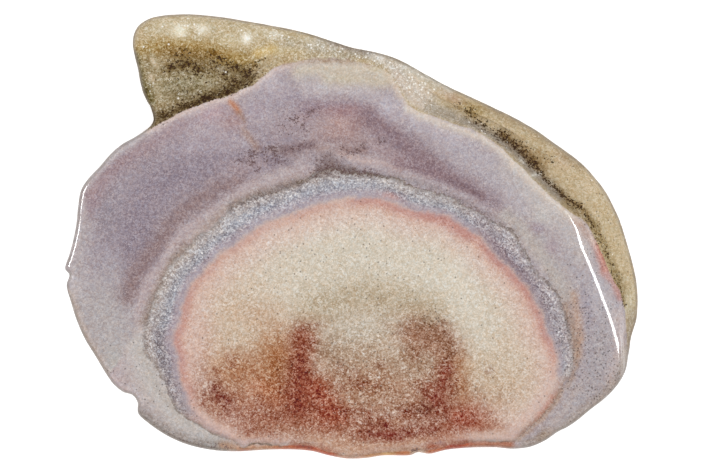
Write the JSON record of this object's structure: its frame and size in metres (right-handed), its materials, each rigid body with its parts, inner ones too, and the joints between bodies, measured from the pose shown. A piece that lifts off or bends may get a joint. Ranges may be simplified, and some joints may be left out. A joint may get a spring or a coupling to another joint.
{
  "type": "polished agate slice",
  "caption": "Free-form polished stone slice with a flat face, a long bevel, a stepped rough ledge and a flat back to lie on.",
  "frame": {"origin": "middle of the outline's box, on the flat sawn back that the slice rests on", "axes": "+X along the slice's length, +Y across it towards the rough ledge, +Z out of the polished face"},
  "size_m": [0.0998, 0.0776, 0.012],
  "materials": {
    "agate": "polished banded stone: mauve outside, grey and orange bands, cream core with brick-red patches"
  },
  "bodies": {
    "root": {"agate_slice": "agate"}
  },
  "joints": []
}
